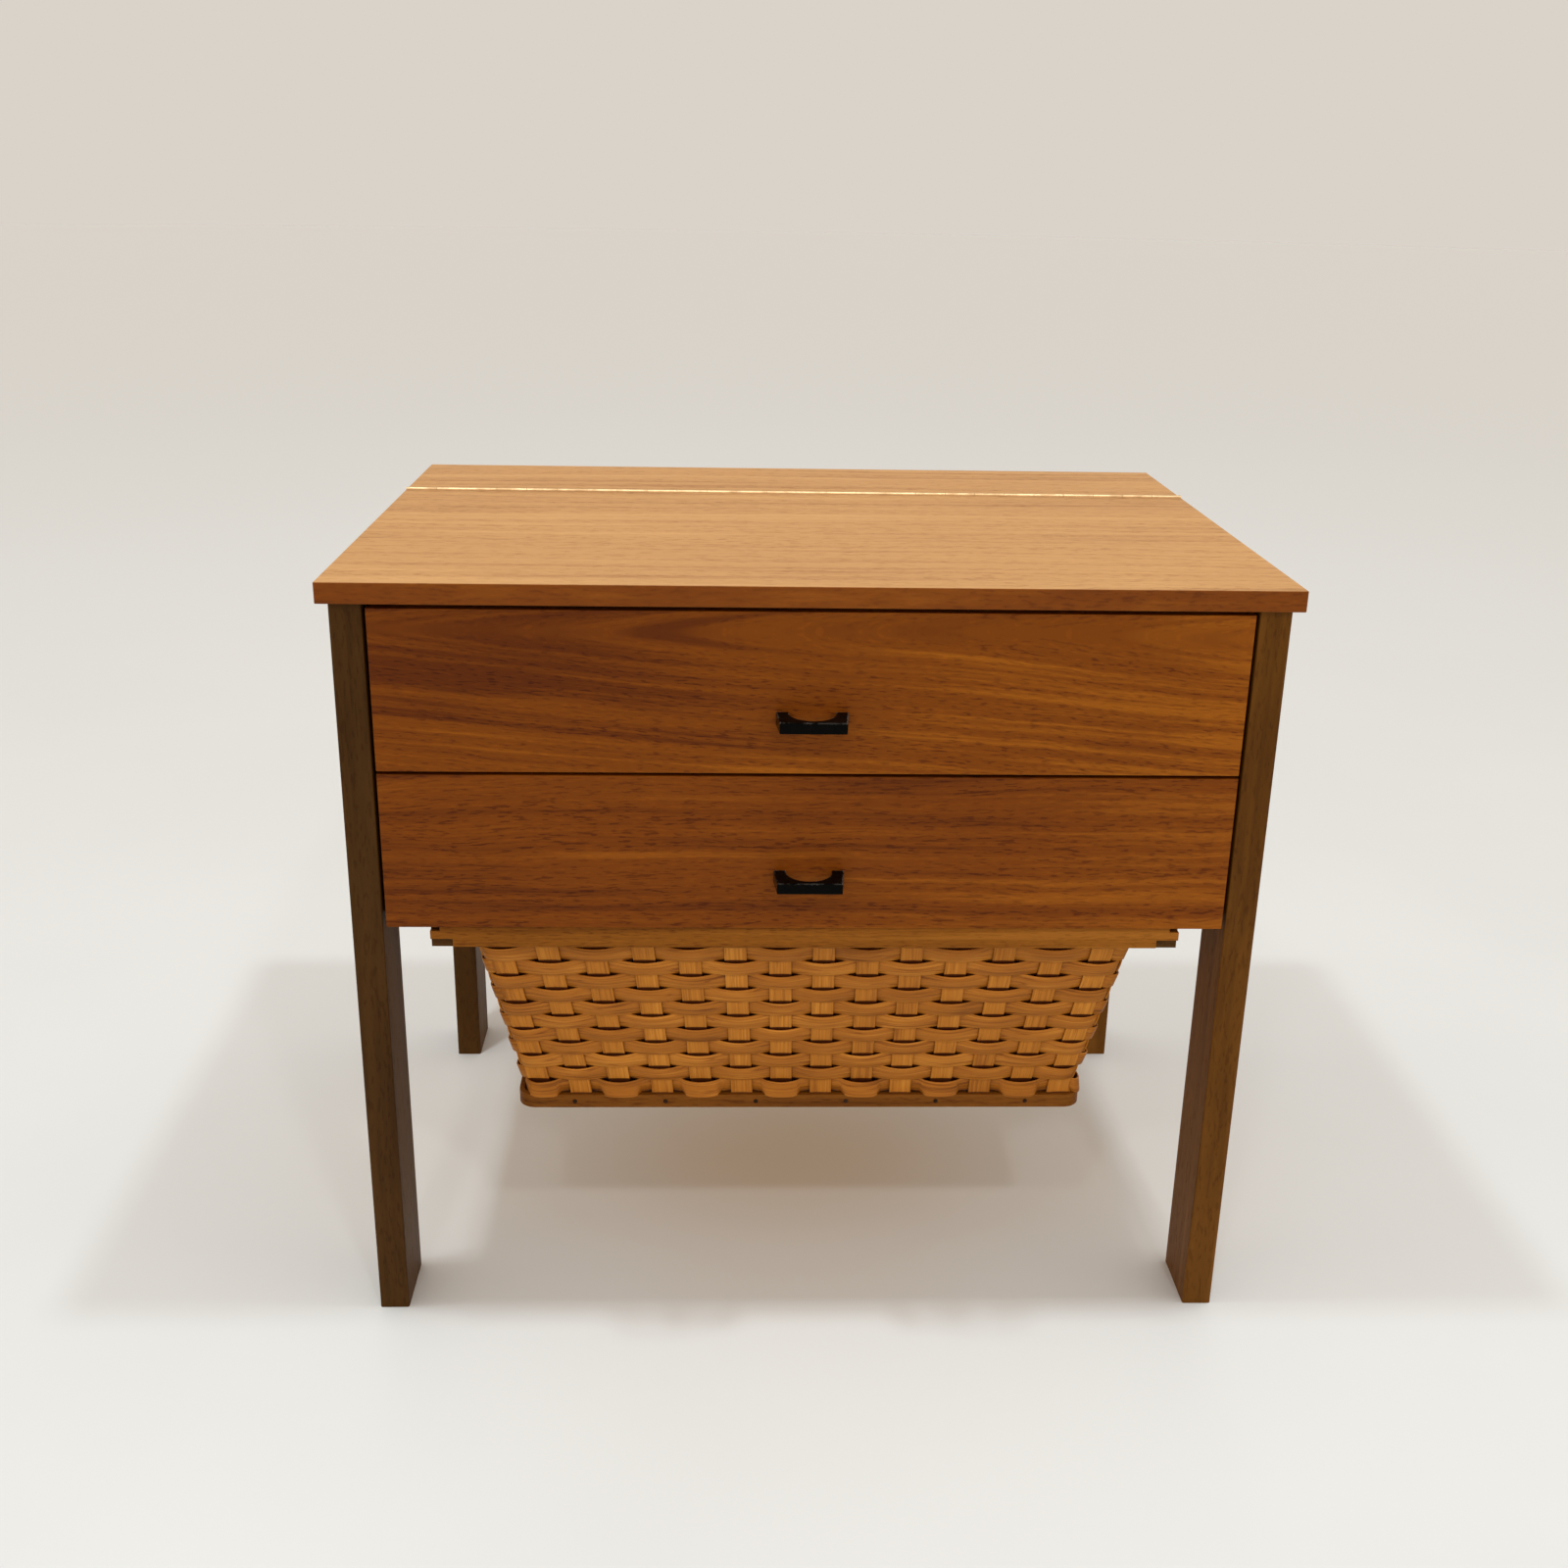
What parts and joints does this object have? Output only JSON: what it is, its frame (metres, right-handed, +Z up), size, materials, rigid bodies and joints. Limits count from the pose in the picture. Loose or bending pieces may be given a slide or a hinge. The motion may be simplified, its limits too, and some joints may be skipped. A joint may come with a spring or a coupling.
{
  "type": "sewing table",
  "caption": "Teak sewing table with a hinged lid, drawers behind bow pulls, plank legs and a pull-out woven basket hung in runners.",
  "frame": {"origin": "bottom centre of the bounding box, on the floor under the middle of the table", "axes": "+X to the right as seen from the front, +Y from the drawer fronts to the back, +Z up"},
  "size_m": [0.65, 0.484, 0.5638],
  "materials": {
    "teak_top": "satin oiled teak veneer, grain along the width",
    "teak_front": "satin oiled teak veneer, grain along the width",
    "teak_carcass": "satin oiled teak veneer",
    "leg_lacquer": "satin olive-brown lacquered wood",
    "beech": "clear lacquered light wood",
    "basket_frame": "satin lacquered honey-brown wood",
    "splint": "varnished flat wood splint",
    "brass": "satin brass",
    "handle_black": "gloss black enamel",
    "steel": "plain steel"
  },
  "bodies": {
    "carcass": {"leg_front_left": "leg_lacquer", "leg_front_right": "leg_lacquer", "leg_rear_left": "leg_lacquer", "leg_rear_right": "leg_lacquer", "side_panel_left": "teak_carcass", "side_panel_right": "teak_carcass", "back_panel": "teak_carcass", "carcass_bottom": "beech", "top_front_rail": "beech", "middle_rail": "beech", "top_rear_rail": "beech", "upper_runner_left": "beech", "upper_runner_right": "beech", "lower_runner_left": "beech", "lower_runner_right": "beech", "basket_runner_left": "beech", "basket_runner_right": "beech", "leg_bolts": "steel", "rail_dowels": "beech", "drawer_runner_screws": "steel", "basket_runner_screws": "steel", "top_strip_screws": "steel", "stay_pin": "brass", "hinge_leaf_fixed": "brass", "hinge_screws_fixed": "brass", "hinge_pin": "brass", "top_rear_strip": "teak_top"},
    "lid": {"lid_panel": "teak_top", "hinge_leaf_lid": "brass", "hinge_screws_lid": "brass", "stay_quadrant": "brass", "stay_screws": "brass"},
    "upper_drawer": {"upper_drawer_front": "teak_front", "upper_drawer_side_left": "beech", "upper_drawer_side_right": "beech", "upper_drawer_back": "beech", "upper_drawer_bottom": "beech", "upper_drawer_dowels": "beech", "upper_handle": "handle_black", "upper_handle_screws": "steel", "upper_drawer_dividers": "beech", "thread_rack": "beech"},
    "lower_drawer": {"lower_drawer_front": "teak_front", "lower_drawer_side_left": "beech", "lower_drawer_side_right": "beech", "lower_drawer_back": "beech", "lower_drawer_bottom": "beech", "lower_drawer_dowels": "beech", "lower_handle": "handle_black", "lower_handle_screws": "steel"},
    "basket": {"basket_front_bar": "basket_frame", "basket_rear_bar": "basket_frame", "basket_side_bar_left": "basket_frame", "basket_side_bar_right": "basket_frame", "basket_weave": "splint", "basket_base_board": "basket_frame", "basket_base_band": "basket_frame", "basket_nails": "steel", "basket_rim": "basket_frame"}
  },
  "joints": [
    {"name": "lid_hinge", "type": "hinge", "parent": "carcass", "child": "lid", "pos_m": [0, 0.116, 0.562], "axis": [-1, 0, 0], "range_deg": [0, 95]},
    {"name": "upper_drawer_slide", "type": "slide", "parent": "carcass", "child": "upper_drawer", "axis": [0, -1, 0], "range_m": [0, 0.25]},
    {"name": "lower_drawer_slide", "type": "slide", "parent": "carcass", "child": "lower_drawer", "axis": [0, -1, 0], "range_m": [0, 0.25]},
    {"name": "basket_slide", "type": "slide", "parent": "carcass", "child": "basket", "axis": [0, -1, 0], "range_m": [0, 0.28]}
  ]
}
